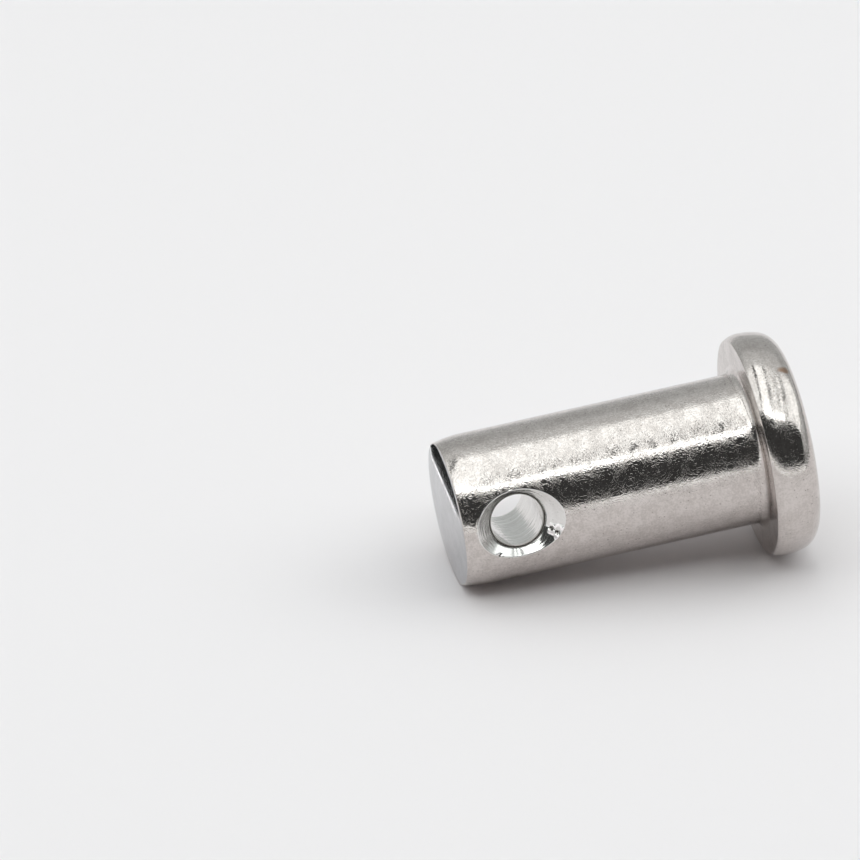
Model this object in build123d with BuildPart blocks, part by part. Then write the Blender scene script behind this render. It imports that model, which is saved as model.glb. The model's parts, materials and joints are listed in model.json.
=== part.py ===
"""Clevis pin: a short turned stainless pin with a flat round head and a cross hole.

The pin is one piece. It stands on its head: Z is its own axis and points to the free
end, and the cross hole for a cotter runs along Y. All sizes are in millimetres.
"""

import os
from math import radians, sqrt, tan

from build123d import *

# Shank
SHANK_DIAMETER = 8.0
SHANK_LENGTH = 16.3  # from the head's seat to the end face
LEAD_LENGTH = 1.5  # the stretch next to the end face that draws in
LEAD_DROP = 0.2  # how much smaller the radius is at the end face
END_EDGE_RADIUS = 0.06  # what tumbling took off the end face's edge

# Head
HEAD_DIAMETER = 11.9
HEAD_HEIGHT = 2.55
RIM_RADIUS = 1.15  # from the outer face round to the rim
CROWN_RADIUS = 3.86  # the rim is slightly barrelled, widest near the seat
SEAT_DRAW_LENGTH = 0.7  # from the widest place to the seat, where the rim draws in
SEAT_DRAW_DROP = 0.24  # how much smaller the radius is at the seat
SEAT_EDGE_RADIUS = 0.06
NECK_RADIUS = 0.4  # from the seat to the shank

# Cross hole
HOLE_DIAMETER = 2.8
HOLE_TO_END = 3.03  # hole centre to end face
COUNTERSINK_DIAMETER = 4.75
FRONT_ANGLE = 100.0  # whole angle of the cone on the -Y side
BACK_ANGLE = 50.0  # and on the +Y side, as deep as the light through the hole asks for

# Sizes that follow
shank_radius = SHANK_DIAMETER / 2
head_radius = HEAD_DIAMETER / 2
crown_height = HEAD_HEIGHT - SEAT_DRAW_LENGTH
foot_radius = head_radius - CROWN_RADIUS + sqrt(CROWN_RADIUS**2 - crown_height**2)
seat_radius = head_radius - SEAT_DRAW_DROP
end_radius = shank_radius - LEAD_DROP
pin_height = HEAD_HEIGHT + SHANK_LENGTH
lead_start = pin_height - LEAD_LENGTH
hole_height = pin_height - HOLE_TO_END
front_depth, back_depth = ((COUNTERSINK_DIAMETER - HOLE_DIAMETER) / 2 / tan(radians(angle / 2)) for angle in (FRONT_ANGLE, BACK_ANGLE))

# Sizes that have to leave room for each other
assert seat_radius > shank_radius + NECK_RADIUS + SEAT_EDGE_RADIUS
assert HEAD_HEIGHT > RIM_RADIUS + SEAT_DRAW_LENGTH
assert CROWN_RADIUS > RIM_RADIUS and CROWN_RADIUS > crown_height
assert hole_height - COUNTERSINK_DIAMETER / 2 > HEAD_HEIGHT + NECK_RADIUS
assert HOLE_TO_END > HOLE_DIAMETER / 2 + END_EDGE_RADIUS
assert COUNTERSINK_DIAMETER > HOLE_DIAMETER and front_depth + back_depth < SHANK_DIAMETER

os.makedirs("parts", exist_ok=True)

with BuildPart() as clevis_pin:
    # Half of the section, from the axis out, turned round Z
    with BuildSketch(Plane.XZ):
        with BuildLine():
            crown = (head_radius, crown_height)
            barrel = TangentArc(crown, (foot_radius, 0), tangent=(0, -1))
            seat_draw = TangentArc(crown, (seat_radius, HEAD_HEIGHT), tangent=(0, 1))
            shank_side = Polyline(seat_draw @ 1, (shank_radius, HEAD_HEIGHT), (shank_radius, lead_start))
            lead = TangentArc(shank_side @ 1, (end_radius, pin_height), tangent=(0, 1))
            Polyline(lead @ 1, (0, pin_height), (0, 0), barrel @ 1)
        make_face()
    revolve(axis=Axis.Z)

    # The turned corners, each a whole circle found by its height and size
    rings = clevis_pin.edges().filter_by(GeomType.CIRCLE)
    foot_ring = rings.group_by(Axis.Z)[0].sort_by(SortBy.RADIUS)[-1]
    end_ring = rings.group_by(Axis.Z)[-1].sort_by(SortBy.RADIUS)[-1]
    seat_rings = rings.filter_by_position(Axis.Z, HEAD_HEIGHT, HEAD_HEIGHT).sort_by(SortBy.RADIUS)
    fillet(foot_ring, RIM_RADIUS)
    fillet(seat_rings[-1], SEAT_EDGE_RADIUS)
    fillet(seat_rings[0], NECK_RADIUS)
    fillet(end_ring, END_EDGE_RADIUS)

    # The cotter hole, drilled through and countersunk from each side
    for side_sign, angle in ((-1, FRONT_ANGLE), (1, BACK_ANGLE)):
        mouth = Plane(origin=(0, side_sign * shank_radius, hole_height), z_dir=(0, side_sign, 0))
        with Locations(mouth):
            CounterSinkHole(
                radius=HOLE_DIAMETER / 2,
                counter_sink_radius=COUNTERSINK_DIAMETER / 2,
                depth=SHANK_DIAMETER,
                counter_sink_angle=angle,
            )

clevis_pin.part.label = "clevis_pin"
export_step(clevis_pin.part, "parts/clevis_pin.step")
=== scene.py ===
# %% [markdown]
# # A clevis pin, dressed for the studio
#
# The object is a short turned pin of stainless steel: a round shank, a flat round head at one
# end and a countersunk cross hole near the other, which takes a cotter. It was turned on a lathe,
# drilled, and then tumbled in a drum of stones, which rounds every edge a little and covers the
# steel with short fine scratches. Steel like this has almost no colour of its own. What the eye
# sees is the room mirrored in a round bar, broken up by those scratches. So this lesson spends
# its effort on three things: a surface smooth enough to mirror well, marks of the right size, and
# a studio worth mirroring.
#
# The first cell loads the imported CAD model. Everything below sits in the CAD model's own frame:
# the pin's head stands at z = 0 and its axis is +Z.

# %% Load the frame
import json
import bpy
import numpy as np
from mathutils import Matrix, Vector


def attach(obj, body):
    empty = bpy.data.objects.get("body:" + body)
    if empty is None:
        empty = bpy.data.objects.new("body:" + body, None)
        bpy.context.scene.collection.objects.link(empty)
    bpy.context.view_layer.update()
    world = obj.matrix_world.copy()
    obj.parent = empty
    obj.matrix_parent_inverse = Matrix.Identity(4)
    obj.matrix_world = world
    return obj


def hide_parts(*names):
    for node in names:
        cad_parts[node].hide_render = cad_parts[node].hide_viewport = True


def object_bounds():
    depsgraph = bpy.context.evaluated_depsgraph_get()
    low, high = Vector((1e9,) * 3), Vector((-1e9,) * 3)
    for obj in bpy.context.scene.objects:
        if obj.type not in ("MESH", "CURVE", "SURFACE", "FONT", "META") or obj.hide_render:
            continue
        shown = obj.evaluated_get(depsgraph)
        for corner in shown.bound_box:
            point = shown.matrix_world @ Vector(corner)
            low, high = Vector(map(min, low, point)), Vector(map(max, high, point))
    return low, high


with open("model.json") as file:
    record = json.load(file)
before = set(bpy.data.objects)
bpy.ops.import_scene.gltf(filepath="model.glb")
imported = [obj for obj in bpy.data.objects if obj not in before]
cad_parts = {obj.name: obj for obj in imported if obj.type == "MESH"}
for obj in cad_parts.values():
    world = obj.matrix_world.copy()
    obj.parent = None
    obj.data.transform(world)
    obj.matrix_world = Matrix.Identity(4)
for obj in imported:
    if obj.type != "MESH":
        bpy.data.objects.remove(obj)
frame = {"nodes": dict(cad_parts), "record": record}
cad_low, cad_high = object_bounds()
mounts = {mount["name"]: mount for mount in frame["record"]["mounts"]}
cad_size = [round(1000 * (b - a), 3) for a, b in zip(cad_low, cad_high)]
print("nodes:", sorted(frame["nodes"]), "CAD box in mm:", cad_size)

# %% [markdown]
# ## The pin's sizes
#
# The big sizes are read from the frame, so that the piece below fits the CAD model exactly: the
# length and the head from its box, the shank and the cross hole from its mounts. The small radii
# that a turned part also has are stated here by name, in millimetres, as they are on its drawing.

# %% Sizes from the frame, and the drawing's small radii
MM = 0.001
LENGTH = cad_high[2] / MM
HEAD_RADIUS = cad_high[0] / MM
SHANK_RADIUS = mounts["shank"]["dims"]["r_mm"]
BORE_RADIUS = mounts["cotter_hole"]["dims"]["r_mm"]
HOLE_HEIGHT = mounts["cotter_hole"]["pos_m"][2] / MM
HEAD_HEIGHT = mounts["head_seat"]["pos_m"][2] / MM

RIM_RADIUS = 1.15  # rounding from the head's outer face to its rim
CROWN_RADIUS = 3.86  # the rim itself is slightly barrelled
SEAT_DRAW = (0.70, 0.24)  # the rim draws in towards the seat: how far along, how far in
EDGE_RADIUS = 0.06  # tumbled edges of the seat and of the end face
NECK_RADIUS = 0.4
LEAD_IN = (1.5, 0.2)  # the shank draws in towards its end: how far along, how far in
MOUTH_RADIUS = 2.375  # the countersink where it meets the shank's highest line
print(f"pin {LENGTH:.2f} long, head {2 * HEAD_RADIUS:.2f}, shank {2 * SHANK_RADIUS:.2f} across")
print(f"hole {2 * BORE_RADIUS:.2f} across, at a height of {HOLE_HEIGHT:.2f}")

# %% [markdown]
# ## The profile
#
# A lathe makes a shape by moving a tool along a line while the bar turns, so the natural way to
# describe the pin is that line: the half-section from the middle of the head's outer face, round
# the rim, across the seat, up the shank and over the end face. It could be drawn with a few
# points and a Bevel modifier, but steel mirrors the room, and a mirror shows where a rounding
# begins. Here each straight and each arc is worked out with the very radii of the drawing.
#
# Every stretch carries a finish number, because each is another kind of surface: the faced head,
# the turned rim, the seat, the tumbled shank, the faced end and the drilled hole.

# %% Straights and arcs as arrays of points
HEAD_FACE, RIM, SEAT, SHANK, END_FACE, HOLE = range(6)


def straight(start, end, steps, finish):
    """Points from start to end in equal steps, end left out: p(t) = start + t (end - start), 0 <= t < 1."""
    t = np.arange(steps)[:, None] / steps
    return (1 - t) * np.array(start, float) + t * np.array(end, float), np.full(steps, finish)


def arc(centre, radius, first, last, steps, finish):
    """Points round a centre, the last left out: p(a) = centre + radius (cos a, sin a), angles in degrees."""
    a = np.radians(first + (last - first) * np.arange(steps) / steps)
    return np.array(centre) + radius * np.stack([np.cos(a), np.sin(a)], 1), np.full(steps, finish)


def draw_in(along, inwards):
    """Radius of the arc that leaves a cylinder smoothly and comes in by d over l: (l^2 + d^2) / 2d."""
    return (along**2 + inwards**2) / (2 * inwards)


seat_arc_radius, lead_arc_radius = draw_in(*SEAT_DRAW), draw_in(*LEAD_IN)
print("draw-in radii:", round(seat_arc_radius, 3), "at the seat,", round(lead_arc_radius, 3), "at the end")

# %% [markdown]
# Three of the arcs end in a smaller rounding that runs into a flat face: the barrelled rim in the
# big rounding of the head's outer face, and the seat and the free end in a small tumbled edge. A
# circle touches the flat when its centre is one radius below it, and touches the bigger arc from
# inside when the distance between the centres is the difference of the radii. Those two facts
# give its centre, and the angle at which it takes over from the bigger arc.

# %% The rounding where a big arc meets a flat face
def rounding(big_centre, big_radius, flat, side, radius):
    """Centre and take-over angle: height flat - side radius, and big_radius - radius away from big_centre."""
    height = flat - side * radius
    rise = height - big_centre[1]
    across = np.sqrt((big_radius - radius) ** 2 - rise**2)
    return np.array([big_centre[0] + across, height]), np.degrees(np.arctan2(rise, across))


crown_height = HEAD_HEIGHT - SEAT_DRAW[0]
crown_centre = (HEAD_RADIUS - CROWN_RADIUS, crown_height)
rim_centre, rim_angle = rounding(crown_centre, CROWN_RADIUS, 0, -1, RIM_RADIUS)
seat_arc_centre = (HEAD_RADIUS - seat_arc_radius, crown_height)
seat_edge_centre, seat_edge_angle = rounding(seat_arc_centre, seat_arc_radius, HEAD_HEIGHT, 1, EDGE_RADIUS)

lead_start = LENGTH - LEAD_IN[0]
lead_arc_centre = (SHANK_RADIUS - lead_arc_radius, lead_start)
end_edge_centre, end_edge_angle = rounding(lead_arc_centre, lead_arc_radius, LENGTH, 1, EDGE_RADIUS)
print("flat to radius", round(rim_centre[0], 3), "on the head,", round(end_edge_centre[0], 3), "on the end")

# %% Join the stretches into one profile
HEAD_POLE, END_POLE = 0.35, 0.15  # radius of the innermost ring on the head's face and on the end face
neck_top = HEAD_HEIGHT + NECK_RADIUS
hole_foot = HOLE_HEIGHT - MOUTH_RADIUS - 0.65  # from here up the rings are closer, for the hole's sake
stretches = [
    straight((HEAD_POLE, 0), (rim_centre[0], 0), 6, HEAD_FACE),
    arc(rim_centre, RIM_RADIUS, -90, rim_angle, 20, RIM),
    arc(crown_centre, CROWN_RADIUS, rim_angle, 0, 12, RIM),
    arc(seat_arc_centre, seat_arc_radius, 0, seat_edge_angle, 11, RIM),
    arc(seat_edge_centre, EDGE_RADIUS, seat_edge_angle, 90, 4, RIM),
    straight((seat_edge_centre[0], HEAD_HEIGHT), (SHANK_RADIUS + NECK_RADIUS, HEAD_HEIGHT), 8, SEAT),
    arc((SHANK_RADIUS + NECK_RADIUS, neck_top), NECK_RADIUS, -90, -180, 12, SHANK),
    straight((SHANK_RADIUS, neck_top), (SHANK_RADIUS, hole_foot), 14, SHANK),
    straight((SHANK_RADIUS, hole_foot), (SHANK_RADIUS, lead_start), 42, SHANK),
    arc(lead_arc_centre, lead_arc_radius, 0, end_edge_angle, 14, SHANK),
    arc(end_edge_centre, EDGE_RADIUS, end_edge_angle, 90, 5, SHANK),
    straight((end_edge_centre[0], LENGTH), (END_POLE, LENGTH), 8, END_FACE),
]
profile = np.concatenate([points for points, _ in stretches])
finish_of_ring = np.concatenate([finish for _, finish in stretches])
print(len(profile), "rings in the profile")

# %% [markdown]
# ## Spinning the profile, and leaving two windows
#
# Turning the profile round Z gives the whole pin but for the cross hole. A Boolean could cut the
# hole, but it leaves long thin triangles round it, and on a mirror they show as dents. Instead
# the grid leaves out a rectangular window round each mouth of the hole, and a patch made for the
# purpose is fitted between the window's straight border and the mouth's curved edge.

# %% Spin the profile
SPOKES = 300
WINDOW_SPOKES = 30  # half the window's width, in spokes
angle = 2 * np.pi * np.arange(SPOKES) / SPOKES


def spin(profile, angle):
    """Surface of revolution: (r, z, a) goes to (r sin a, -r cos a, z); a = 0 faces -Y, a quarter turn +X."""
    r, z = profile[:, :1], profile[:, 1:]
    return np.stack([r * np.sin(angle), -r * np.cos(angle), z + 0 * angle], 2)


def ring_near(height):
    """The shank's ring nearest to a height: the smallest |z - height| among the rings with its finish."""
    return int(np.argmin(np.where(finish_of_ring == SHANK, np.abs(profile[:, 1] - height), np.inf)))


body = spin(profile, angle)
window_low = ring_near(HOLE_HEIGHT - MOUTH_RADIUS - 0.45)
window_high = ring_near(HOLE_HEIGHT + MOUTH_RADIUS + 0.3)
print("the windows reach from", profile[window_low].round(3), "to", profile[window_high].round(3))

# %% [markdown]
# ## Radius of the shank at any height
#
# The patch has to lie exactly on the shank, and near the end the shank draws in along a big arc.
# One small function gives the radius at any height, for the patch and for the mouth's edge.

# %% The shank's radius as a function of height
def shank_radius(z):
    """Plain radius up to the lead-in, then the lead-in's arc: centre + sqrt(R^2 - (z - z0)^2)."""
    above = np.clip(z - lead_start, 0, None)
    return lead_arc_centre[0] + np.sqrt(lead_arc_radius**2 - above**2)


def on_shank(turn, z):
    """The point of the shank at that turn from -Y and that height: (R sin, -R cos, z)."""
    r = shank_radius(z)
    return np.stack([r * np.sin(turn), -r * np.cos(turn), z], -1)


below_end = shank_radius(np.array([LENGTH - 0.1]))
print("shank radius at the hole", SHANK_RADIUS, "and 0.1 below the end face", below_end.round(3))

# %% [markdown]
# ## The cross hole
#
# The hole was drilled through and each mouth was countersunk, with a 100 degree tool on the side
# of -Y and a steeper one behind. Seen along the hole, every part of it is a circle: so one angle
# round the hole, the same from mouth to mouth, and one step along a path serve for all of it. The
# window's border gives the list of angles. At each of them a path runs from the border over the
# patch to the mouth, over a small rounded edge, down the cone, over the next edge, through the
# bore, and out the same way behind.

# %% The window's border and its angles round the hole
span = np.arange(-WINDOW_SPOKES, WINDOW_SPOKES)
rise = np.arange(window_low, window_high)
low_row, high_row = np.full(span.size, window_low), np.full(span.size, window_high)
far_column = np.full(rise.size, WINDOW_SPOKES)
border_ring = np.concatenate([low_row, rise, high_row, rise[::-1] + 1])
border_spoke = np.concatenate([span, far_column, -span, -far_column])
border = body[border_ring, border_spoke % SPOKES]
phi = np.arctan2(border[:, 2] - HOLE_HEIGHT, border[:, 0])
print(phi.size, "points on the window's border")

# %% [markdown]
# A countersink in hard stainless steel is never perfect. The tool chatters, so its edge wavers
# and fine rings stay on the cone. On this pin it also tore the steel at one place, and left a
# small burr with two pits. Marks of that size catch the light by their shape, so they are part of
# the mesh. Two small functions are enough: a wavering line, and a smooth hill at one angle.

# %% A wavering line and a hill round the hole
def ripple(turn, counts, seed):
    """Wavering line: the mean of sin(k turn + p) over whole numbers k, each phase p drawn from the seed."""
    phases = np.random.default_rng(seed).uniform(0, 2 * np.pi, len(counts))
    return np.sin(np.multiply.outer(turn, counts) + phases).mean(-1)


def hill(turn, at, wide):
    """Smooth hill round the hole: exp(-(gap / wide)^2), the gap in degrees and taken the short way round."""
    gap = (np.degrees(turn) - at + 180) % 360 - 180
    return np.exp(-((gap / wide) ** 2))


FRONT_WAVER, BACK_WAVER = 0.03, 0.02  # how far each mouth's edge wavers, in mm
waver = ripple(phi, (9, 14, 23, 31), 3)
print("the mouth's edge wavers by up to", round(FRONT_WAVER * np.abs(waver).max(), 3), "mm")

# %% The mouths' edges, where each cone meets the shank
FRONT_ANGLE, BACK_ANGLE = 100, 50  # whole angles of the two countersinks
FRONT_STEEP, BACK_STEEP = 1 / np.tan(np.radians(FRONT_ANGLE / 2)), 1 / np.tan(np.radians(BACK_ANGLE / 2))


def cone_depth(rho, steep):
    """Depth of a cone at radius rho, from the pin's axis: a line that starts at the shank's highest line."""
    return SHANK_RADIUS - steep * (MOUTH_RADIUS - rho)


def mouth_edge(phi, steep):
    """Radius rho with (rho cos phi)^2 + (steep rho + tip)^2 = R(z)^2, solved again as R(z) settles."""
    rho, tip = np.full(phi.shape, MOUTH_RADIUS), cone_depth(0, steep)
    for _ in range(8):
        big = shank_radius(HOLE_HEIGHT + rho * np.sin(phi))
        a, b, c = steep**2 + np.cos(phi) ** 2, 2 * steep * tip, tip**2 - big**2
        rho = (-b + np.sqrt(b * b - 4 * a * c)) / (2 * a)
    return rho


front_true = mouth_edge(phi, FRONT_STEEP)
chatter = 0.35 + hill(phi, 20, 35) + 0.6 * hill(phi, 150, 30)  # the tool chattered most at two places
front_mouth = front_true + FRONT_WAVER * waver * chatter
back_mouth = mouth_edge(phi, BACK_STEEP) + BACK_WAVER * ripple(phi, (8, 13, 21), 4)
print("mouth", round(2 * front_true.min(), 3), "by", round(2 * front_true.max(), 3), "mm")


# %% Places on the hole's surfaces
def around_hole(rho, depth):
    """The point at radius rho and angle phi round the hole's axis, depth from the pin's axis towards -Y."""
    rho = rho + 0 * phi
    return np.stack([rho * np.cos(phi), -depth + 0 * rho, HOLE_HEIGHT + rho * np.sin(phi)], -1)


def on_shank_round_hole(rho):
    """The shank's surface over radius rho: x and z as round the hole, y = -sqrt(R(z)^2 - x^2)."""
    x, z = rho * np.cos(phi), HOLE_HEIGHT + rho * np.sin(phi)
    return np.stack([x, -np.sqrt(shank_radius(z) ** 2 - x**2), z], -1)


def rounded(a, corner, b, steps):
    """A small rounding from a to b: (1-t)^2 a + 2 t (1-t) corner + t^2 b, with its ends left out."""
    t = ((np.arange(steps) + 1) / (steps + 1))[:, None, None]
    return (1 - t) ** 2 * a + 2 * t * (1 - t) * corner + t**2 * b


bore_ends = cone_depth(BORE_RADIUS, FRONT_STEEP), -cone_depth(BORE_RADIUS, BACK_STEEP)
print("the bore runs from depth", round(bore_ends[0], 3), "to", round(bore_ends[1], 3))

# %% Half of the path, from a window's border to the bore
MOUTH_EDGE = 0.035  # tumbled edge of the mouth
BORE_EDGE = 0.2  # worn edge where the cone meets the bore
PATCH_STEPS, CONE_STEPS = 12, 26
PATCH_EASE = 1.6  # above 1 the patch's rows crowd towards the mouth


def half_path(rho_mouth, steep):
    """Patch, rounded mouth, cone and worn bore edge: one row of points round the hole for each step in."""
    turn_border = np.arctan2(border[:, 0], -border[:, 1])
    edge_start = on_shank_round_hole(rho_mouth + MOUTH_EDGE)
    turn_edge = np.arctan2(edge_start[:, 0], -edge_start[:, 1])
    s = (1 - (1 - np.arange(PATCH_STEPS) / PATCH_STEPS) ** PATCH_EASE)[:, None]
    patch = on_shank((1 - s) * turn_border + s * turn_edge, (1 - s) * border[:, 2] + s * edge_start[:, 2])
    t = (np.arange(CONE_STEPS) / (CONE_STEPS - 1))[:, None]
    rho = (1 - t) * (rho_mouth - MOUTH_EDGE) + t * (BORE_RADIUS + BORE_EDGE)
    cone = around_hole(rho, cone_depth(rho, steep))
    mouth = rounded(edge_start, around_hole(rho_mouth, cone_depth(rho_mouth, steep)), cone[0], 3)
    end = cone_depth(BORE_RADIUS, steep)
    worn = rounded(cone[-1], around_hole(BORE_RADIUS, end), around_hole(BORE_RADIUS, end - BORE_EDGE), 7)
    return np.concatenate([patch, edge_start[None], mouth, cone, worn])


front_half, back_half = half_path(front_mouth, FRONT_STEEP), half_path(back_mouth, BACK_STEEP)
half_finish = np.repeat([SHANK, HOLE], [PATCH_STEPS + 1, len(front_half) - PATCH_STEPS - 1])
print(len(front_half), "rows from the border to the bore")

# %% [markdown]
# ## Chatter rings, lip and burr
#
# The marks are heights added along the hole's axis, each a formula in the angle round the hole
# and the radius from its axis. The rings are a sine of the radius, the lip a ridge that follows
# the mouth on one side, and the burr a handful of hills and pits. Away from them the height is
# zero, and it is zero on the window's border, so the patch still meets the shank exactly.

# %% Heights of the marks round the front mouth
BURR = [  # angle round the hole, radius, height, all in degrees and mm
    (-113.5, 1.77, -0.13), (-115.5, 2.08, -0.14), (-106, 1.73, 0.012), (-105, 2.04, 0.014),
    (-117.5, 1.92, 0.10), (-122, 2.12, 0.09), (-108, 2.24, 0.02), (-119, 1.76, 0.06), (-109, 1.90, 0.02),
]


def radius_in_hole(points):
    """Distance from the hole's axis: sqrt(x^2 + (z - hole height)^2)."""
    return np.hypot(points[..., 0], points[..., 2] - HOLE_HEIGHT)


def hump(distance, wide):
    """A smooth hump: exp(-(distance / wide)^2)."""
    return np.exp(-((distance / wide) ** 2))


def rings(points, rho_mouth):
    """Chatter on the cone: a sine of the radius, 0.14 mm from ring to ring, and stronger at two places."""
    rho = radius_in_hole(points)
    from_mouth, from_bore = rho_mouth - 0.04 - rho, rho - BORE_RADIUS - BORE_EDGE
    on_cone = np.clip(from_mouth / 0.1, 0, 1) * np.clip(from_bore / 0.1, 0, 1)
    wave = np.sin(2 * np.pi * rho / 0.14 + 2.5 * ripple(phi, (1, 2, 3, 5), 6))
    wave = wave + 0.6 * np.sin(2 * np.pi * rho / 0.23 + 1)
    return 0.0012 * on_cone * (0.7 + hill(phi, -135, 18) + hill(phi, 80, 40)) * wave


def lip(points, rho_mouth):
    """Steel pushed up outside the mouth, on the free end's side: a ridge 0.13 mm away, a groove at 0.06."""
    outside = radius_in_hole(points) - rho_mouth
    return 0.016 * hill(phi, 92, 32) * (hump(outside - 0.13, 0.04) - 0.8 * hump(outside - 0.06, 0.035))


def burr(points):
    """Torn steel: the sum of height exp(-(angle gap / 3)^2 - (radius gap / 0.095)^2) over the list."""
    at, radius, height = np.array(BURR).T[:, :, None, None]
    return (height * hill(phi, at, 3.0) * hump(radius_in_hole(points) - radius, 0.095)).sum(0)


def nick(points, rho_mouth):
    """A dent in the mouth's edge near the free end: -0.07 exp(-(angle gap / 4)^2 - (edge gap / 0.1)^2)."""
    return -0.07 * hill(phi, 139, 4) * hump(radius_in_hole(points) - rho_mouth, 0.1)


height = rings(front_half, front_mouth) + lip(front_half, front_mouth)
height = height + burr(front_half) + nick(front_half, front_mouth)
height *= np.clip(np.arange(len(front_half)) / 4, 0, 1)[:, None]  # nothing on the window's border
torn_half = burr(front_half) + 1.5 * nick(front_half, front_mouth)
front_half[..., 1] -= height
back_half[..., 1] -= rings(back_half, back_mouth)
print("marks from", round(float(height.min()), 3), "to", round(float(height.max()), 3), "mm")

# %% [markdown]
# ## The bore and its tool marks
#
# A twist drill leaves soft rings in the bore, a quarter of a millimetre apart and never quite
# even. They are the same kind of formula: the bore's radius is a sum of three sines of the depth,
# each turned a little by the angle, as the drill went forward while it turned.

# %% The bore, ring by ring
BORE_STEPS = 124
bore_depth = np.linspace(bore_ends[0] - BORE_EDGE, bore_ends[1] + BORE_EDGE, BORE_STEPS)[:, None]
fade = np.clip(np.minimum(bore_depth[0] - bore_depth, bore_depth - bore_depth[-1]) / 0.2, 0, 1)
drilled = (np.sin(2 * np.pi * bore_depth / 0.26 + phi) + 0.8 * np.sin(2 * np.pi * bore_depth / 0.43 - phi + 2)
           + 0.5 * np.sin(2 * np.pi * bore_depth / 0.17 + 2 * phi + 4))
drilled *= 0.6 + 0.5 * np.sin(1.9 * bore_depth + 2 * phi) * np.sin(0.9 * bore_depth - phi + 1)
TOOL_MARKS = 0.003  # depth of the drill's rings, in mm
bore = around_hole(BORE_RADIUS + TOOL_MARKS * fade * drilled, bore_depth)
path = np.concatenate([front_half, bore[1:-1], back_half[::-1] * np.array([1, -1, 1])])
path_finish = np.concatenate([half_finish, np.full(BORE_STEPS - 2, HOLE), half_finish[::-1]])
torn_path, coarse_path = np.zeros((2, *path.shape[:2]))
torn_path[:len(torn_half)] = torn_half
coarse_path[:len(torn_half)] = hill(phi, 70, 55)
print(path.shape[0], "loops from one window to the other")

# %% [markdown]
# ## Sewing it together
#
# The grid, the path through the hole and the two poles share their points, so the result is one
# closed skin. Each quad lists its corners so that it faces outwards. Points inside the windows
# are left over, and are dropped when the mesh is made.

# %% Quads of the body, without the windows
ring_id = np.arange(body.shape[0] * SPOKES).reshape(body.shape[0], SPOKES)


def quads(rows):
    """Quads between each closed row of point numbers and the next: (i, j), (i, j+1), (i+1, j+1), (i+1, j)."""
    after = np.roll(rows, -1, 1)
    return np.stack([rows[:-1], after[:-1], after[1:], rows[1:]], 2)


body_quads = quads(ring_id)
in_window = np.zeros(body_quads.shape[:2], bool)
in_window[window_low:window_high, np.concatenate([span, span + SPOKES // 2]) % SPOKES] = True
body_faces = body_quads[~in_window]
body_finish = np.broadcast_to(finish_of_ring[:-1, None], in_window.shape)[~in_window]
print(len(body_faces), "quads on the body,", int(in_window.sum()), "left out in the windows")

# %% Quads of the hole's path, tied to the borders of both windows
path_id = ring_id.size + np.arange(path.shape[0] * phi.size).reshape(path.shape[0], phi.size)
path_id[0] = ring_id[border_ring, border_spoke % SPOKES]
path_id[-1] = ring_id[border_ring, (SPOKES // 2 - border_spoke) % SPOKES]
path_faces = quads(path_id).reshape(-1, 4)
path_face_finish = np.repeat(np.append(path_finish[1:-1], SHANK), phi.size)
print(len(path_faces), "quads along the hole")

# %% The two poles
points = np.concatenate([body.reshape(-1, 3), path.reshape(-1, 3), [[0, 0, 0], [0, 0, LENGTH]]])
bottom, top = len(points) - 2, len(points) - 1
first, last = ring_id[0], ring_id[-1]
caps = np.concatenate([
    np.stack([np.full(SPOKES, bottom), np.roll(first, -1), first], 1),
    np.stack([last, np.roll(last, -1), np.full(SPOKES, top)], 1),
])
finishes = np.concatenate([body_finish, path_face_finish, np.repeat([HEAD_FACE, END_FACE], SPOKES)])
print(len(caps), "triangles close the middle of the head's face and of the end face")


# %% Put arrays into a mesh
def make_mesh(name, points, quads, triangles):
    """One smooth mesh from arrays: points in metres, faces as point numbers; points that no face uses go."""
    used, corners = np.unique(np.concatenate([quads.ravel(), triangles.ravel()]), return_inverse=True)
    mesh = bpy.data.meshes.new(name)
    mesh.vertices.add(used.size)
    mesh.vertices.foreach_set("co", points[used].astype(np.float32).ravel())
    mesh.loops.add(corners.size)
    mesh.loops.foreach_set("vertex_index", corners.astype(np.int32).ravel())
    sizes = np.repeat([4, 3], [len(quads), len(triangles)])
    mesh.polygons.add(sizes.size)
    mesh.polygons.foreach_set("loop_start", (np.cumsum(sizes) - sizes).astype(np.int32))
    mesh.polygons.foreach_set("use_smooth", np.ones(sizes.size, bool))
    mesh.update(calc_edges=True)
    state = "mended" if mesh.validate(verbose=False) else "valid"
    print(name, "is", state, "with", int((sizes - 2).sum()), "triangles")
    return mesh


def give_points(mesh, name, values, faces):
    """Store one number for each point that a face uses, as an attribute that materials can read."""
    attribute = mesh.attributes.new(name, "FLOAT", "POINT")
    attribute.data.foreach_set("value", values[np.unique(faces)].astype(np.float32))


def place_in_scene(name, mesh):
    """A new object at the origin, unturned and unscaled, with its place in its mesh."""
    piece = bpy.data.objects.new(name, mesh)
    bpy.context.scene.collection.objects.link(piece)
    return piece


steel_mesh = make_mesh("clevis_pin_steel", points * MM, np.concatenate([body_faces, path_faces]), caps)
steel_mesh.polygons.foreach_set("material_index", finishes.astype(np.int32))
faces = np.concatenate([body_faces.ravel(), path_faces.ravel(), caps.ravel()])
for name, values in (("torn", torn_path), ("coarse", coarse_path)):
    give_points(steel_mesh, name, np.concatenate([np.zeros(ring_id.size), values.ravel(), [0, 0]]), faces)
pin = place_in_scene("clevis_pin_steel", steel_mesh)
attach(pin, "root")
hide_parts("clevis_pin")

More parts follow.
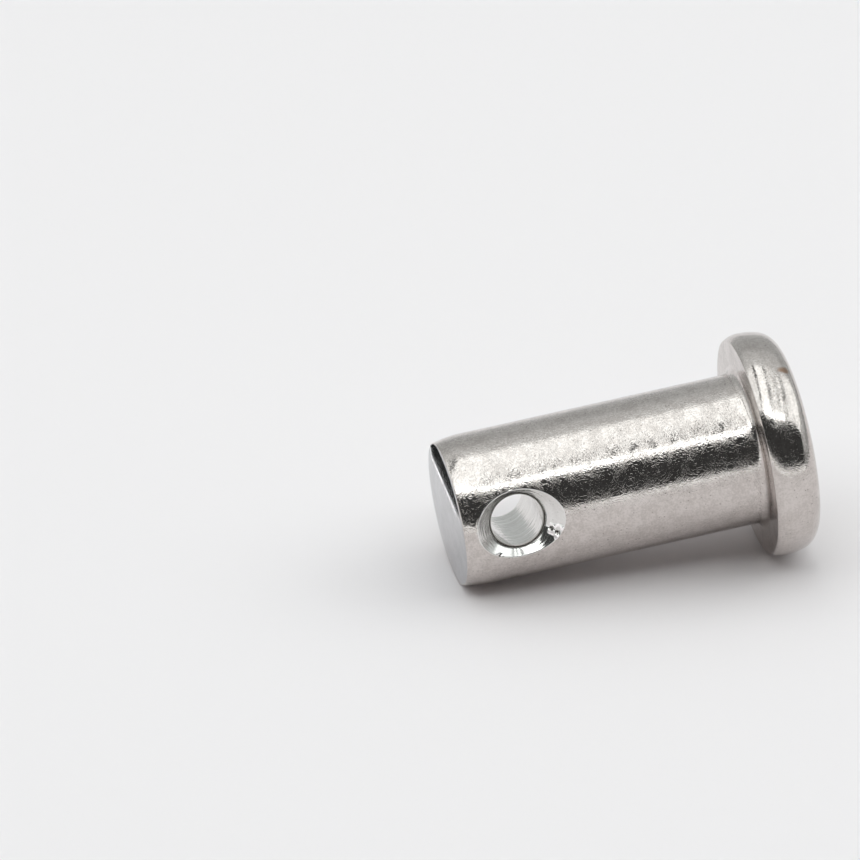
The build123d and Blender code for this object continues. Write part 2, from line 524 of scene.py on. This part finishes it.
# %% Measure the skin: a closed skin has every edge in two faces, and a positive volume when it faces outwards
corner_edge = np.empty(len(steel_mesh.loops), np.int32)
steel_mesh.loops.foreach_get("edge_index", corner_edge)
steel_mesh.calc_loop_triangles()
triangle = np.empty(3 * len(steel_mesh.loop_triangles), np.int32)
steel_mesh.loop_triangles.foreach_get("vertices", triangle)
place = np.empty(3 * len(steel_mesh.vertices), np.float32)
steel_mesh.vertices.foreach_get("co", place)
a, b, c = place.reshape(-1, 3).astype(float)[triangle.reshape(-1, 3)].transpose(1, 0, 2)
volume = float((a * np.cross(b, c)).sum()) / 6 / MM**3
closed = bool((np.bincount(corner_edge) == 2).all())
print("every edge in two faces:", closed, "- volume in mm3:", round(volume, 1))

# %% [markdown]
# ## How the steel's finish is made
#
# In a metal the base colour is the tint of its mirror, so it stays close to a warm grey and the
# rest is done by the roughness and by a bump as small as the marks are. The real marks are short
# strokes and shallow dents left by the tumbling stones, and here and there a pit. A scratch of a
# twentieth of a millimetre could be painted in an image, but noise on the object's own
# coordinates has no seams, needs no unwrapping and stays put from every side.
#
# A few small helpers keep the node trees readable. Every finish first turns the object's
# coordinates from metres into millimetres, so that each number below is a size on the pin.

# %% Helpers that build nodes
def add(tree, kind, sockets=None, **settings):
    """A new node: settings are its own choices, sockets its inputs, each a value or another node's output."""
    node = tree.nodes.new(kind)
    for name, value in settings.items():
        setattr(node, name, value)
    for name, value in (sockets or {}).items():
        if isinstance(value, bpy.types.NodeSocket):
            tree.links.new(value, node.inputs[name])
        else:
            node.inputs[name].default_value = value
    return node


def calc(tree, operation, *values):
    """One Math node on the given numbers or sockets."""
    return add(tree, "ShaderNodeMath", dict(enumerate(values)), operation=operation).outputs[0]


def stretch(tree, vector, x, y, z):
    """Coordinates multiplied by (x, y, z): a small number draws the pattern out along that axis."""
    return add(tree, "ShaderNodeVectorMath", {0: vector, 1: (x, y, z)}, operation="MULTIPLY").outputs[0]


def noise(tree, vector, scale, detail=1, rough=0.5):
    """Noise from 0 to 1, about scale cells to the millimetre."""
    sockets = {"Vector": vector, "Scale": scale, "Detail": detail, "Roughness": rough}
    return add(tree, "ShaderNodeTexNoise", sockets).outputs[0]


def between(tree, value, low, high, to_low=0.0, to_high=1.0):
    """Smooth step: to_low below low, to_high above high, t^2 (3 - 2 t) between them."""
    sockets = {"Value": value, "From Min": low, "From Max": high, "To Min": to_low, "To Max": to_high}
    return add(tree, "ShaderNodeMapRange", sockets, interpolation_type="SMOOTHSTEP").outputs[0]


def weigh(tree, first, *others):
    """Weighted sum of sockets: each pair is a socket and its weight."""
    total = calc(tree, "MULTIPLY", *first)
    for socket, weight in others:
        total = calc(tree, "MULTIPLY_ADD", socket, weight, total)
    return total


def hairline(tree, value, wide):
    """Thin lines where noise crosses one half: 1 - |v - 1/2| / wide, smoothed, and 0 away from them."""
    return between(tree, calc(tree, "ABSOLUTE", calc(tree, "SUBTRACT", value, 0.5)), 0, wide, 1, 0)


def new_group(name, outputs):
    """An empty group whose input Place is a position in millimetres, with the named outputs."""
    group = bpy.data.node_groups.new(name, "ShaderNodeTree")
    group.interface.new_socket("Place", in_out="INPUT", socket_type="NodeSocketVector")
    for output in outputs:
        group.interface.new_socket(output, in_out="OUTPUT", socket_type="NodeSocketFloat")
    print("group:", name, "->", ", ".join(outputs))
    return group, group.nodes.new("NodeGroupInput").outputs["Place"], group.nodes.new("NodeGroupOutput")


def new_material(name, keep_shader=True):
    """A new material and its node tree, with the Principled shader or without it."""
    material = bpy.data.materials.new(name)
    material.use_nodes = True
    if not keep_shader:
        material.node_tree.nodes.remove(material.node_tree.nodes["Principled BSDF"])
    return material, material.node_tree


def place_on_object(tree, x=1 / MM, y=1 / MM, z=1 / MM):
    """The object's own coordinates, in millimetres unless other stretches are given."""
    return stretch(tree, add(tree, "ShaderNodeTexCoord").outputs["Object"], x, y, z)


def surface(tree, shader):
    """Make a shader the material's surface."""
    tree.links.new(shader.outputs[0], tree.nodes["Material Output"].inputs["Surface"])


print("helpers for nodes, groups and materials are ready")

# %% [markdown]
# ## The marks of tumbling
#
# The strokes are noise squeezed along the pin's axis and left long round it, which needs no
# angle: stretching x and y alike draws the pattern out along every circle. A slow wander added to
# z makes neighbouring strokes lean one way or the other. Most of the sparkle comes from a finer
# grain of the same kind, and from flakes: noise cut off so sharply that it makes small steps.
# Shallow dents are plain noise a quarter of a millimetre wide, hairline cuts follow the contour
# lines of another noise, and pits are the middles of some cells of a Voronoi pattern.

# %% Tumbling marks, a group shared by the tumbled surfaces
tumbling, place, out = new_group("tumbling marks", ("Height", "Dullness", "Pits"))
wander = calc(tumbling, "MULTIPLY", noise(tumbling, place, 1.1), 1.3)
lean = add(tumbling, "ShaderNodeCombineXYZ", {"Z": wander}).outputs[0]
leaning = add(tumbling, "ShaderNodeVectorMath", {0: place, 1: lean}, operation="ADD").outputs[0]
strokes = noise(tumbling, stretch(tumbling, leaning, 4.6, 4.6, 19), 1, 2, 0.6)
grain = noise(tumbling, stretch(tumbling, leaning, 9, 9, 15), 1, 1)
flakes = between(tumbling, noise(tumbling, stretch(tumbling, leaning, 8, 8, 13), 1, 1), 0.46, 0.54)
dents = noise(tumbling, place, 3.8, 1)
contour = noise(tumbling, stretch(tumbling, leaning, 3.4, 3.4, 9), 1, 1)
patchy = between(tumbling, noise(tumbling, place, 3.1, 2), 0.5, 0.6)
cuts = calc(tumbling, "MULTIPLY", hairline(tumbling, contour, 0.03), patchy)
cells = add(tumbling, "ShaderNodeTexVoronoi", {"Vector": place, "Scale": 4.5})
chosen = add(tumbling, "ShaderNodeSeparateXYZ", {0: cells.outputs["Color"]}).outputs[0]
middles = between(tumbling, cells.outputs["Distance"], 0.08, 0.24, 1, 0)
pits = calc(tumbling, "MULTIPLY", middles, between(tumbling, chosen, 0.6, 0.9))
height = weigh(
    tumbling, (strokes, 0.24), (grain, 0.85), (flakes, 0.26), (dents, 0.04), (cuts, -0.12), (pits, -0.35)
)
clouds, specks = noise(tumbling, place, 1.6, 3, 0.6), noise(tumbling, place, 9, 1)
dullness = weigh(tumbling, (clouds, 0.45), (strokes, 0.15), (specks, 0.4))
tumbling.links.new(height, out.inputs["Height"])
tumbling.links.new(between(tumbling, dullness, 0.38, 0.62), out.inputs["Dullness"])
tumbling.links.new(pits, out.inputs["Pits"])

# %% [markdown]
# ## Turning lines and stray scratches
#
# A lathe tool leaves fine lines all the way round, so the pattern changes quickly across the
# lines, slowly round the pin, and the group takes the distance across the lines as the x of its
# Place. On the rim that distance is the height, on a face it is the radius. Stray scratches come
# from handling: long thin streaks in three directions, kept only where the noise is high.

# %% Turning lines, a group for every face and edge that was cut on the lathe
turning, place, out = new_group("turning lines", ("Height", "Dullness"))
lines = noise(turning, stretch(turning, place, 9, 0.25, 0.25), 1, 3, 0.6)
turning.links.new(lines, out.inputs["Height"])
turning.links.new(between(turning, lines, 0.35, 0.65), out.inputs["Dullness"])

# %% Stray scratches, a group for the flat faces
scratches, place, out = new_group("stray scratches", ("Scratches",))
STREAK_SIZE = (1.6, 0.05, 1)  # how far a streak reaches along and across, in mm
streaks = []
for number, turn in enumerate((0.5, 1.35, 2.5)):
    sockets = {"Location": (3.1 * number, 0, 0), "Rotation": (0, 0, turn), "Scale": STREAK_SIZE}
    laid = add(scratches, "ShaderNodeMapping", {"Vector": place, **sockets}, vector_type="TEXTURE")
    streaks.append(between(scratches, noise(scratches, laid.outputs[0], 1, 1), 0.60, 0.68))
highest = calc(scratches, "MAXIMUM", calc(scratches, "MAXIMUM", streaks[0], streaks[1]), streaks[2])
scratches.links.new(highest, out.inputs["Scratches"])

# %% [markdown]
# ## Six finishes
#
# Each finish says only how much of each kind of mark it carries, how bright and how dull its
# steel is, and how deep the marks are. The shader itself stays in the material: metallic steel,
# its colour and roughness led by the Dullness, and a bump led by the Height.

# %% Where the marks come from, finish by finish
def use(tree, group, place):
    """The outputs of a shared group at a place."""
    return add(tree, "ShaderNodeGroup", {"Place": place}, node_tree=group).outputs


def mixed(tree, a, b, share):
    """a + share (b - a)."""
    return calc(tree, "MULTIPLY_ADD", calc(tree, "SUBTRACT", b, a), share, a)


def length(tree, vector):
    """The length of a vector."""
    return add(tree, "ShaderNodeVectorMath", {0: vector}, operation="LENGTH").outputs["Value"]


def across_lines(tree, place, kind):
    """Turning lines' place: x is height on the rim, radius on a face, and radius and depth in the hole."""
    x, y, z = add(tree, "ShaderNodeSeparateXYZ", {0: place}).outputs
    if kind == "rim":
        sockets = {"X": z, "Y": x, "Z": y}
    elif kind == "face":
        sockets = {"X": length(tree, stretch(tree, place, 1, 1, 0)), "Y": x, "Z": y}
    else:
        centred = add(tree, "ShaderNodeVectorMath", {0: place, 1: (0, 0, -HOLE_HEIGHT)}, operation="ADD")
        round_hole = length(tree, stretch(tree, centred.outputs[0], 1, 0, 1))
        sockets = {"X": calc(tree, "ADD", round_hole, calc(tree, "MULTIPLY", y, 0.8)), "Y": x, "Z": z}
    return add(tree, "ShaderNodeCombineXYZ", sockets).outputs[0]


def tumbled_marks(tree, place):
    """Tumbling alone: its height, dullness and pits."""
    marks = use(tree, tumbling, place)
    return marks["Height"], marks["Dullness"], marks["Pits"]


def rim_marks(tree, place):
    """Tumbling over what is left of the turning lines."""
    marks, lines = use(tree, tumbling, place), use(tree, turning, across_lines(tree, place, "rim"))
    height = weigh(tree, (lines["Height"], 0.15), (marks["Height"], 0.85))
    return height, mixed(tree, marks["Dullness"], lines["Dullness"], 0.2), marks["Pits"]


def face_marks(tree, place):
    """Turning lines crossed by stray scratches, under soft clouds of wear."""
    marks, lines = use(tree, scratches, place), use(tree, turning, across_lines(tree, place, "face"))
    height = weigh(tree, (lines["Height"], 0.5), (marks["Scratches"], -0.2))
    clouds = between(tree, noise(tree, place, 0.9, 3, 0.6), 0.35, 0.65)
    dullness = mixed(tree, mixed(tree, lines["Dullness"], marks["Scratches"], 0.4), clouds, 0.5)
    return height, dullness, calc(tree, "MULTIPLY", marks["Scratches"], 0.35)


def hole_marks(tree, place):
    """Lines of the drill and the countersink, with a little tumbling."""
    lines, tumbled = use(tree, turning, across_lines(tree, place, "hole")), use(tree, tumbling, place)
    height = weigh(tree, (lines["Height"], 0.6), (tumbled["Height"], 0.45))
    dullness = mixed(tree, lines["Dullness"], tumbled["Dullness"], 0.5)
    return height, dullness, calc(tree, "MULTIPLY", tumbled["Pits"], 0.5)


print("marks are ready for the tumbled shank, the rim, the faces and the hole")

# %% The steel itself
PIT_COLOUR = (0.12, 0.10, 0.09, 1)


def mix_colours(tree, share, under, over):
    """One colour laid over another, each given as RGBA or as an output."""
    return add(tree, "ShaderNodeMix", {0: share, 6: under, 7: over}, data_type="RGBA").outputs[2]


def steel(name, marks, bright, dull, roughness, relief):
    """Bare steel: colour from bright to dull, roughness from low to high, and a bump of that relief in mm."""
    material, tree = new_material(name)
    shader = tree.nodes["Principled BSDF"]
    height, dullness, pits = marks(tree, place_on_object(tree))
    tint = mix_colours(tree, dullness, (*bright, 1), (*dull, 1))
    pitted = mix_colours(tree, calc(tree, "MULTIPLY", pits, 0.6), tint, PIT_COLOUR)
    tree.links.new(pitted, shader.inputs["Base Color"])
    tree.links.new(between(tree, dullness, 0, 1, *roughness), shader.inputs["Roughness"])
    bump = add(tree, "ShaderNodeBump", {"Height": height, "Distance": relief * MM})
    tree.links.new(bump.outputs[0], shader.inputs["Normal"])
    shader.inputs["Metallic"].default_value = 1
    print("finish:", name, "relief", relief, "mm, roughness", roughness)
    return material


WARM_STEEL, DULL_STEEL = (0.650, 0.604, 0.578), (0.520, 0.475, 0.450)
FINISHES = {  # marks, bright and dull colour, lowest and highest roughness, relief in mm
    "faced head": (face_marks, WARM_STEEL, DULL_STEEL, (0.14, 0.24), 0.004),
    "turned rim": (rim_marks, WARM_STEEL, DULL_STEEL, (0.05, 0.10), 0.0055),
    "turned seat": (face_marks, WARM_STEEL, DULL_STEEL, (0.12, 0.22), 0.003),
    "tumbled shank": (tumbled_marks, WARM_STEEL, DULL_STEEL, (0.05, 0.11), 0.0075),
    # the faced end's colours are darker and bluer than the other steel: painted shade, standing for shaded
    # paper mirrored in the end face
    "faced end": (face_marks, (0.50, 0.50, 0.515), (0.38, 0.38, 0.395), (0.03, 0.06), 0.0008),
    # the drilled hole's colours are paler than steel's own: painted light, brightening the inside of the hole
    "drilled hole": (hole_marks, (0.800, 0.785, 0.765), (0.690, 0.670, 0.650), (0.09, 0.17), 0.003),
}
for name, recipe in FINISHES.items():
    steel_mesh.materials.append(steel(name, *recipe))

# %% [markdown]
# ## Torn steel, and a stain
#
# The burr's crests are painted near-white, a painted highlight where they face the lamp, and its
# pits are painted near-black. The mesh carries the height of the burr as an attribute, so the
# colours sit exactly on the shape. A small tan stain lies on the rim: a noisy spot round one
# point, longer along the pin than round it.

# %% Colours laid over the steel
def lay_over(material, mask, colour):
    """Mix a colour over the material's base colour by a mask."""
    tree = material.node_tree
    target = tree.nodes["Principled BSDF"].inputs["Base Color"]
    tree.links.new(mix_colours(tree, mask, target.links[0].from_socket, (*colour, 1)), target)


hole_steel = steel_mesh.materials[HOLE]
tree = hole_steel.node_tree
torn = add(tree, "ShaderNodeAttribute", attribute_name="torn").outputs["Fac"]  # the burr's height, in mm
# painted highlight: the burr's crests turn near-white
lay_over(hole_steel, between(tree, torn, 0.004, 0.012), (1.0, 0.95, 0.95))
# the burr's pits turn near-black
lay_over(hole_steel, between(tree, torn, -0.12, -0.06, 0.9, 0), (0.08, 0.06, 0.055))
roughness = tree.nodes["Principled BSDF"].inputs["Roughness"]
coarse = add(tree, "ShaderNodeAttribute", attribute_name="coarse").outputs["Fac"]
rougher = calc(tree, "MULTIPLY_ADD", coarse, 0.10, roughness.links[0].from_socket)
rougher = calc(tree, "ADD", rougher, between(tree, torn, 0.01, 0.04, 0, 0.3))
tree.links.new(rougher, roughness)
print("torn steel laid over:", hole_steel.name)

# %% The stain on the rim
STAIN_TURN, STAIN_RADIUS, STAIN_HEIGHT = np.radians(58.5), 5.75, 0.35
STAIN_SCALE = np.array([4, 4, 1.5])  # parts of the stain's size to the millimetre, round the pin and along it
rim_steel = steel_mesh.materials[RIM]
tree = rim_steel.node_tree
place = place_on_object(tree, *(STAIN_SCALE / MM))
stain_at = STAIN_RADIUS * np.sin(STAIN_TURN), -STAIN_RADIUS * np.cos(STAIN_TURN), STAIN_HEIGHT
away = add(tree, "ShaderNodeVectorMath", {0: place, 1: STAIN_SCALE * stain_at}, operation="DISTANCE")
ragged = calc(tree, "ADD", away.outputs["Value"], calc(tree, "MULTIPLY", noise(tree, place, 1.1, 2), 0.8))
lay_over(rim_steel, between(tree, ragged, 0.9, 1.6, 0.8, 0), (0.30, 0.17, 0.10))
print("stain laid over:", rim_steel.name)

# %% [markdown]
# ## Which way is up
#
# The pin lies on its side for its portrait, resting on the rim of its head and the edge of its
# free end, but the frame keeps it standing along Z. So it is the studio that is tilted: the
# floor, the lamp and the camera are all placed by three directions, the floor's own up, front
# (level, towards the camera) and side. A direction is easiest to give as two angles, as a
# compass and a plumb line would: a turn and a rise.

# %% The studio's three directions
def direction(turn, rise):
    """Unit vector at that turn from +X towards +Y and that rise above the XY plane, in degrees."""
    a, e = np.radians(turn), np.radians(rise)
    return np.array([np.cos(e) * np.cos(a), np.cos(e) * np.sin(a), np.sin(e)])


UP_TURN, UP_RISE = -12.02, -7.06
up = direction(UP_TURN, UP_RISE)
CAMERA_TURN, CAMERA_RISE, CAMERA_ROLL = 20.277, 9.423, 102.566
back = direction(CAMERA_TURN - 90, CAMERA_RISE)  # from the pin to the camera
front = back - (back @ up) * up
front /= np.linalg.norm(front)
side = np.cross(up, front)
print("the camera looks down at", round(float(np.degrees(np.arcsin(back @ up))), 1), "degrees")

# %% [markdown]
# ## The camera
#
# A small object is shot from far away with a long lens, so that near and far end come out
# at nearly the same scale. The camera's matrix has its right, up and back directions as its
# columns, and its place as the last one. Right is level first, then rolled about the view.

# %% Camera
camera = bpy.data.objects.new("camera", bpy.data.cameras.new("camera"))
bpy.context.scene.collection.objects.link(camera)
camera.data.sensor_width = 36
camera.data.lens = 837.2
camera.data.clip_start, camera.data.clip_end = 0.1, 10
CAMERA_AWAY = 1.0465  # metres from the point it aims at
level_right = np.cross([0, 0, 1], back)
level_right /= np.linalg.norm(level_right)
roll = np.radians(CAMERA_ROLL)
camera_up = np.cos(roll) * np.cross(back, level_right) + np.sin(roll) * level_right
camera_right = np.cross(camera_up, back)
aim = np.array([3.699, 2.981, 18.55]) * MM
columns = np.column_stack([camera_right, camera_up, back, aim + CAMERA_AWAY * back])
camera.matrix_world = Matrix([*columns.tolist(), [0, 0, 0, 1]])
bpy.context.scene.camera = camera
print("camera", round(float(np.linalg.norm(columns[:, 3])), 3), "m from the pin's head")

# %% [markdown]
# ## The floor
#
# The floor is white paper, a flat sheet on the studio's own side and front directions, just
# touching the pin. It shows the pin's soft shadow, and the steel mirrors it. Seen from behind it
# would hide the pin from low camera angles, so its back lets everything through: the Geometry
# node knows which side of a face is being looked at.

# %% A flat sheet, and the paper
FLOOR_LEVEL = -6.146 * MM


def flat_sheet(name, middle, along, across, half_along, half_across, steps=9):
    """A flat grid: p(u, v) = middle + u along + v across, facing along x across."""
    u = np.linspace(-half_along, half_along, steps)[:, None, None]
    v = np.linspace(-half_across, half_across, steps)[None, :, None]
    number = np.arange(steps * steps).reshape(steps, steps)
    faces = np.stack([number[:-1, :-1], number[1:, :-1], number[1:, 1:], number[:-1, 1:]], -1).reshape(-1, 4)
    sheet = make_mesh(name, (middle + u * along + v * across).reshape(-1, 3), faces, np.empty((0, 3), int))
    print(name, "faces", np.round(sheet.polygons[0].normal[:], 3))
    return place_in_scene(name, sheet)


FLOOR_HALF_DEEP, FLOOR_HALF_WIDE = 0.26, 0.3
floor_middle = FLOOR_LEVEL * up - 0.14 * front  # more of it lies behind the pin than in front
floor = flat_sheet("paper_floor", floor_middle, front, side, FLOOR_HALF_DEEP, FLOOR_HALF_WIDE)

# %% White paper, clear from behind
paper, tree = new_material("white paper")
shader = tree.nodes["Principled BSDF"]
shader.inputs["Base Color"].default_value = (0.905, 0.866, 0.876, 1)
shader.inputs["Roughness"].default_value = 1
shader.inputs["Specular IOR Level"].default_value = 0
behind = add(tree, "ShaderNodeNewGeometry").outputs["Backfacing"]
clear = add(tree, "ShaderNodeBsdfTransparent")
surface(tree, add(tree, "ShaderNodeMixShader", {0: behind, 1: shader.outputs[0], 2: clear.outputs[0]}))
floor.data.materials.append(paper)
print("paper", shader.inputs["Base Color"].default_value[:3])

# %% [markdown]
# ## A dark card for the free end
#
# A flat mirror shows one spot of the room and looks empty. So a small dark card hangs beside it,
# and part of the face turns dark. The card is a painted reflection: it stands in for a neighbouring
# pin mirrored in the face, and its lower edge glows though it is no lamp, which paints the bright
# line along the edge of the dark part. A ray from the camera leaves the end face along
# mirrored = 2 (back . z) z - back. The card hangs square to that ray, a little way along it, with
# its lower edge where the edge of the dark part is mirrored. It grows clear towards its near end,
# so that from other sides no sharp corner of it shows. Only mirror rays see it: it casts no
# shadow, and neither the camera nor the paper notices it.

# %% The card
CARD_LONG, CARD_HIGH, CARD_AWAY = 2.6, 0.4, 7  # half its length, half its height and its distance, in mm
mirrored = 2 * back[2] * np.array([0, 0, 1]) - back
edge_middle = np.array([1.54, -0.43, LENGTH])  # the dark part of the face begins here, in mm
edge_along = np.array([-0.347, -0.938, 0])
card_along = edge_along - (edge_along @ mirrored) * mirrored
card_along /= np.linalg.norm(card_along)
card_up = np.cross(mirrored, card_along)
card_edge = edge_middle + CARD_AWAY * mirrored
card_middle = card_edge + CARD_HIGH * card_up
card = flat_sheet("dark_card", card_middle * MM, card_along, card_up, CARD_LONG * MM, CARD_HIGH * MM)
card.visible_camera = card.visible_diffuse = card.visible_shadow = False
print("the card's edge hangs", round(float(card_edge @ up - FLOOR_LEVEL / MM), 2), "mm above the paper")

# %% The card's paint, a painted reflection: dark with faint streaks, a glowing lower edge that paints a highlight line, and clear towards its near end
paint, tree = new_material("dark card", keep_shader=False)
place = place_on_object(tree)


def distance_along(tree, place, direction, start):
    """How far a place lies along a direction, counted from a starting point: (place - start) . direction."""
    dot = add(tree, "ShaderNodeVectorMath", {0: place, 1: direction}, operation="DOT_PRODUCT")
    return calc(tree, "SUBTRACT", dot.outputs["Value"], float(start @ direction))


streaks = between(tree, noise(tree, stretch(tree, place, 12, 3, 12), 1, 3, 0.7), 0.40, 0.75, 0.005, 0.075)
# the lower edge glows at strength 3 though it is no lamp: a painted highlight line, mirrored in the end face
glowing_highlight_edge = between(tree, distance_along(tree, place, card_up, card_edge), 0.02, 0.05, 3, 0)
emission = add(tree, "ShaderNodeEmission", {"Strength": calc(tree, "ADD", streaks, glowing_highlight_edge)})
fade = between(tree, distance_along(tree, place, card_along, card_middle), 1.1, 2.2)
clear = add(tree, "ShaderNodeBsdfTransparent")
surface(tree, add(tree, "ShaderNodeMixShader", {0: fade, 1: emission.outputs[0], 2: clear.outputs[0]}))
card.data.materials.append(paint)
print("paint:", paint.name)

# %% [markdown]
# ## The studio that the steel mirrors
#
# Everything bright or dark on the pin is the studio's mirror image. Overhead hangs a wide light
# panel with thin seams between its strips, brightest along its front bar. In front of it the
# room behind the camera is dark, and that makes the black band on the shank. The back of the room
# is mid-grey, and a pale table edge runs along the bottom of the dark part.
#
# All this could be lamps and cards, but it is simpler as one big dome whose faces glow. Looking
# up, each place of the ceiling has a distance to the side and a distance to the front, in units
# of its height above the pin, and there the lamp is a plain rectangle with straight seams. The
# glow is computed for each point of the dome as a whole array, and stored as an attribute.

# %% Soft edges, and a lamp seam
def step(value, edge, blur):
    """0 below the edge and 1 above it, with a smooth ramp t^2 (3 - 2 t) of that width."""
    t = np.clip((value - edge) / blur + 0.5, 0, 1)
    return t * t * (3 - 2 * t)


def inside(value, low, high, blur):
    """1 between low and high, 0 outside, with soft edges."""
    return step(value, low, blur) * (1 - step(value, high, blur))


def blend(a, b, share):
    """a + share (b - a)."""
    return a + share * (b - a)


BACK_WALL = [  # degrees up from the level line behind the pin, and glow
    (-180, 0.80), (-20, 0.80), (0, 0.55), (20, 0.50), (32, 0.50),
    (44, 0.68), (54, 0.76), (70, 0.80), (180, 0.80),
]
SIDE_WALL = [(0.0, 0.36), (0.12, 0.38), (0.20, 0.58), (0.44, 0.62)]  # rise over distance, and glow
DARK_FRONT, TABLE_EDGE = 0.055, 1.25
TABLE_TOP = 0.078  # rise over distance where the pale table edge ends and the dark begins
PANELS, FRONT_STRIP, FRONT_BAR, RIGHT_PANEL, LEFT_PANEL, LEFT_SEAM = 1.72, 2.3, 4.0, 1.5, 1.4, 0.20
SEAMS = [  # place to the right, lean, half the width, what it widens by, where it ends in front, glow
    (0.485, 0.28, 0.05, 0, 2, 0.35), (0.31, 0.20, 0.03, 0, 0.50, 0.22), (0.125, 0.17, 0.03, 0.13, 0.50, 0.12)
]


def lamp_glow(right, forth, lamp_front):
    """Glow of the light panel: strips side by side, brighter to the front, with dark seams between them."""
    panels = blend(PANELS, FRONT_STRIP, step(forth, lamp_front - 0.26, 0.16))
    panels = blend(panels, FRONT_BAR, step(forth, lamp_front - 0.14, 0.05))
    panels = blend(panels, RIGHT_PANEL, step(right, 0.5 + 0.28 * forth, 0.05))
    left_seam = -0.53 - 0.35 * forth - 0.45 * forth**2
    panels = blend(panels, LEFT_PANEL, 1 - step(right, left_seam, 0.05))
    for middle, lean, wide, widens, ends, level in SEAMS:
        spread = widens * np.clip(forth, 0, 0.5)
        seam = inside(right, middle + lean * forth - wide - spread, middle + lean * forth + wide, 0.04)
        panels = blend(panels, level, seam * (1 - step(forth, ends, 0.12)))
    return blend(panels, LEFT_SEAM, inside(right, left_seam - 0.09, left_seam + 0.09, 0.06))


def studio_glow(look):
    """Glow in each direction: back wall, dark front, table edge, side wall and lamp, laid over by masks."""
    height, ahead, aside = look @ up, look @ front, look @ side
    above = np.maximum(height, 1e-3)
    right, forth = aside / above, ahead / above  # place on a ceiling one unit above the pin
    rise_ahead, rise_aside = height / np.maximum(ahead, 1e-3), height / np.maximum(aside, 1e-3)
    glow = np.interp(np.degrees(np.arctan2(height, -ahead)), *np.array(BACK_WALL).T)
    lamp_front = 0.70 - 0.11 * np.maximum(right, -0.6)  # the front bar hangs a little askew
    dark = step(rise_ahead, TABLE_TOP, 0.018) * (ahead > 0) * step(forth, lamp_front, 0.12)
    glow = blend(glow, DARK_FRONT, dark)
    glow = blend(glow, TABLE_EDGE, inside(rise_ahead, -0.06, TABLE_TOP, 0.018) * (ahead > 0))
    side_wall = step(aside, np.maximum(height / 0.44, (height + 1.3 * ahead) / 0.715), 0.06) * (aside > 0)
    glow = blend(glow, np.interp(rise_aside, *np.array(SIDE_WALL).T), side_wall)
    lamp_back = -0.50 - 0.73 * np.clip(right - 0.5, 0, 1.2)  # on the right the lamp reaches further back
    lamp = inside(forth, lamp_back, lamp_front, 0.05) * inside(right, -2.05, 2.2, 0.15) * (height > 0.02)
    return blend(glow, lamp_glow(right, forth, lamp_front), lamp)


print("straight up it glows", studio_glow(up[None]).round(2))
print("towards the camera it glows", studio_glow(back[None]).round(2))


# %% The dome and its light
def dome(radius, steps):
    """A sphere seen from inside: p(a, b) = radius (cos b cos a, cos b sin a, sin b), closed at its poles."""
    a = 2 * np.pi * np.arange(2 * steps) / (2 * steps)
    b = (np.pi * (np.arange(1, steps) / steps - 0.5))[:, None]
    grid = np.stack([np.cos(b) * np.cos(a), np.cos(b) * np.sin(a), np.sin(b) + 0 * a], -1)
    number = np.arange(grid.shape[0] * grid.shape[1]).reshape(grid.shape[:2])
    south, north = number.size, number.size + 1
    low, high = number[0], number[-1]
    poles = np.concatenate([
        np.stack([low, np.roll(low, -1), np.full(low.size, south)], 1),
        np.stack([np.roll(high, -1), high, np.full(high.size, north)], 1),
    ])
    points = np.concatenate([grid.reshape(-1, 3), [[0, 0, -1], [0, 0, 1]]])
    return points * radius, quads(number).reshape(-1, 4)[:, ::-1], poles


DOME_RADIUS, DOME_STEPS = 0.5, 240
LIGHT_COLOUR = np.array([1.0, 1.045, 1.04, 1.0])
dome_points, dome_quads, dome_poles = dome(DOME_RADIUS, DOME_STEPS)
dome_mesh = make_mesh("studio_dome", dome_points, dome_quads, dome_poles)
glow = studio_glow(dome_points / np.linalg.norm(dome_points, axis=1, keepdims=True))
attribute = dome_mesh.color_attributes.new("glow", "FLOAT_COLOR", "POINT")
attribute.data.foreach_set("color", (glow[:, None] * LIGHT_COLOUR).astype(np.float32).ravel())
studio = place_in_scene("studio_dome", dome_mesh)
studio.visible_camera = False
print("glow from", glow.min().round(3), "to", glow.max().round(3))

# %% A material that glows with the attribute
light, tree = new_material("studio light", keep_shader=False)
stored = add(tree, "ShaderNodeAttribute", attribute_name="glow")
surface(tree, add(tree, "ShaderNodeEmission", {"Color": stored.outputs["Color"]}))
light.cycles.emission_sampling = "NONE"  # the dome is all round, so a bounced ray finds it unaimed
dome_mesh.materials.append(light)
print("light:", light.name, "on", studio.name)

# %% [markdown]
# ## Background and view
#
# Beyond the paper the background is the same pale tone, from a plain world. The dome hides the
# world from everything but the camera, so it adds no light to the pin.

# %% World and view
world = bpy.data.worlds.new("pale background")
bpy.context.scene.world = world
world.use_nodes = True
world.node_tree.nodes["Background"].inputs["Color"].default_value = (0.83, 0.83, 0.835, 1)
bpy.context.scene.view_settings.view_transform = "Standard"
print("world:", world.name, "- view:", bpy.context.scene.view_settings.view_transform)
